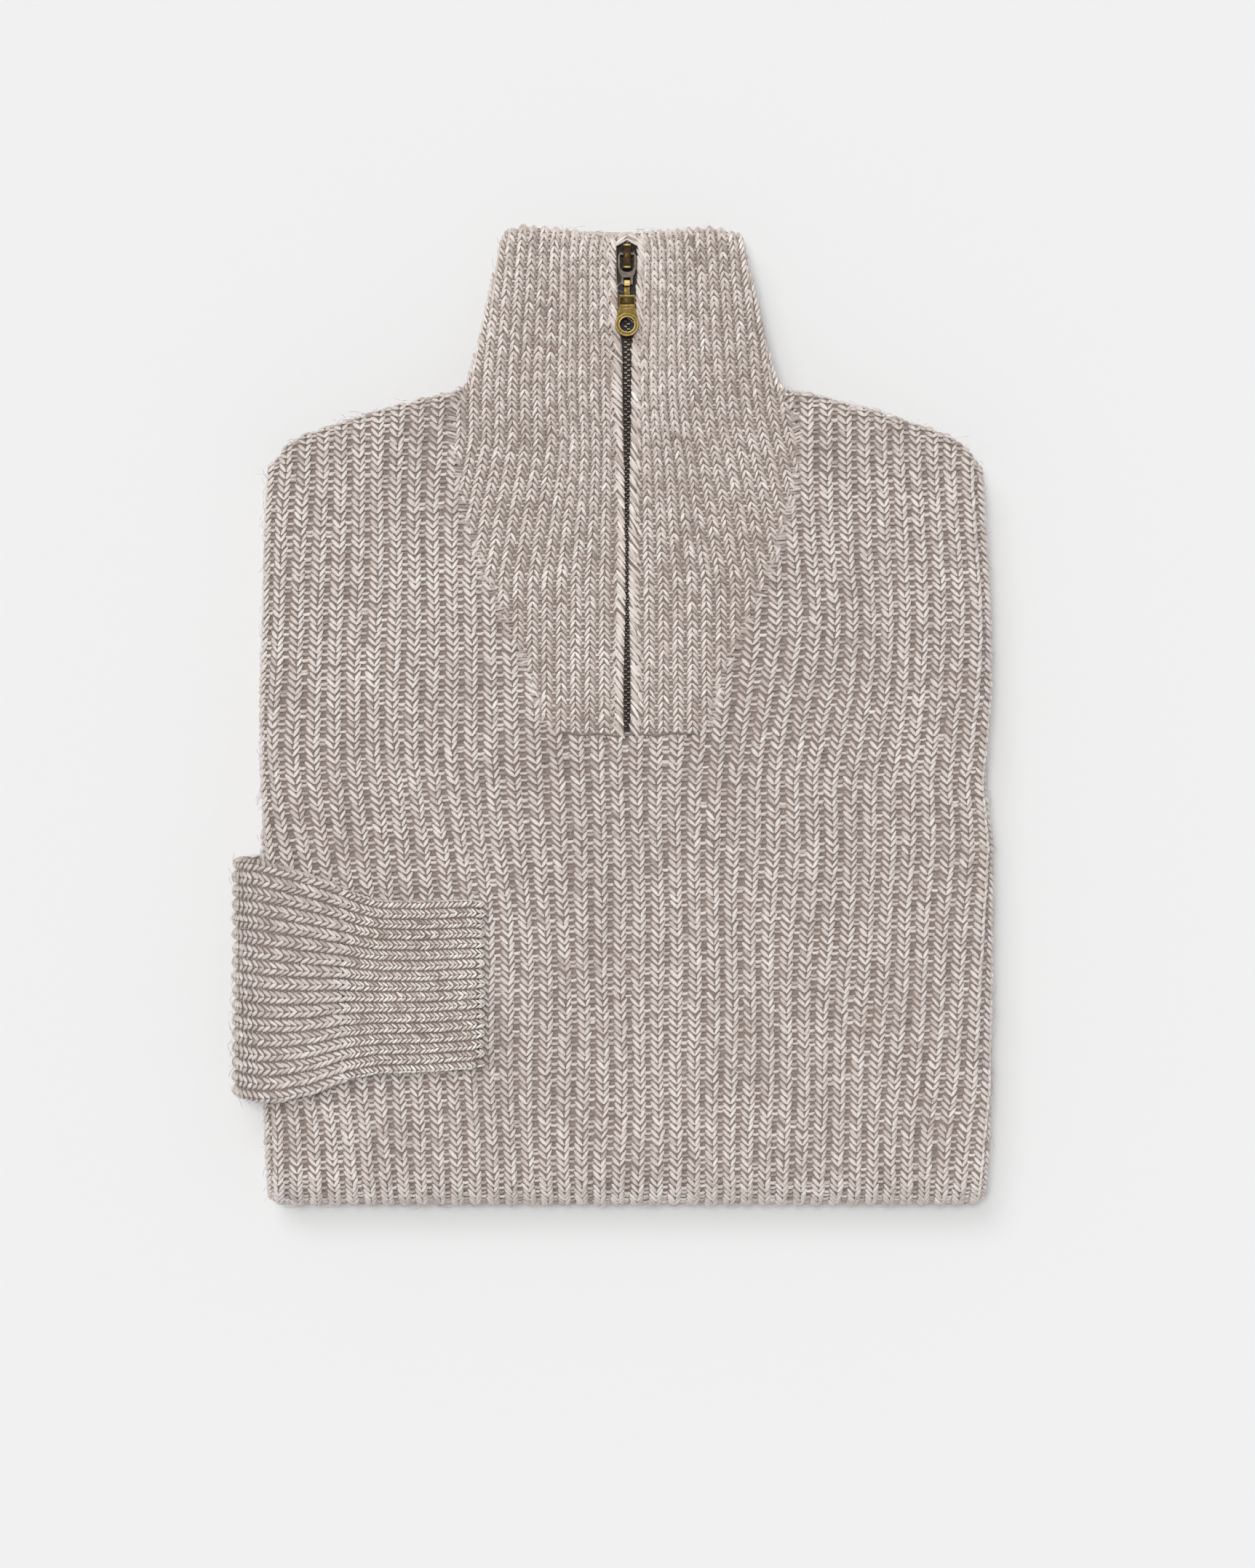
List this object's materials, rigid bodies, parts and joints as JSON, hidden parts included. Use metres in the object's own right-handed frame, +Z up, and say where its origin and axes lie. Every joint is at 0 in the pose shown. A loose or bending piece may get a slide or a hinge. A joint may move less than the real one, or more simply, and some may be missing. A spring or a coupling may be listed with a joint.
{
  "type": "folded quarter zip sweater",
  "caption": "Folded chunky ribbed knit sweater lying flat, with a high stand collar, a zip to the chest with a hinged pull, and one cuff folded onto the front.",
  "frame": {"origin": "on the flat underside that rests on the surface, below the zip line", "axes": "+Y towards the collar, +X to the right seen from above, +Z up out of the front of the sweater"},
  "size_m": [0.3448, 0.4459, 0.0486],
  "materials": {
    "body_wool": "chunky marled rib knit",
    "collar_wool": "finer marled rib knit",
    "cuff_wool": "tight marled rib knit",
    "inner_wool": "marled knit in layers",
    "zip_tape": "woven tape",
    "zip_metal": "dark antique bronze",
    "pull_brass": "antique brass",
    "link_brass": "bright brass"
  },
  "bodies": {
    "garment": {"front_panel": "body_wool", "front_panel_under": "body_wool", "back_panel": "body_wool", "folded_layers": "inner_wool", "sleeve_left": "body_wool", "sleeve_right_top": "body_wool", "sleeve_right": "body_wool", "cuff_right": "cuff_wool", "collar_front_left": "collar_wool", "collar_front_right": "collar_wool", "collar_back": "collar_wool", "zip_tape": "zip_tape", "zip_chain": "zip_metal", "zip_slider": "zip_metal", "top_stop_left": "zip_metal", "top_stop_right": "zip_metal"},
    "plate": {"pull_plate": "zip_metal"},
    "tab": {"pull_link": "link_brass", "pull_tab": "pull_brass"}
  },
  "joints": [
    {"name": "plate_hinge", "type": "hinge", "parent": "garment", "child": "plate", "pos_m": [0, 0.24832, 0.03359], "axis": [-1, 0, 0], "range_deg": [0, 150]},
    {"name": "tab_hinge", "type": "hinge", "parent": "plate", "child": "tab", "pos_m": [0, 0.23479, 0.03494], "axis": [-1, 0, 0], "range_deg": [0, 60]}
  ]
}
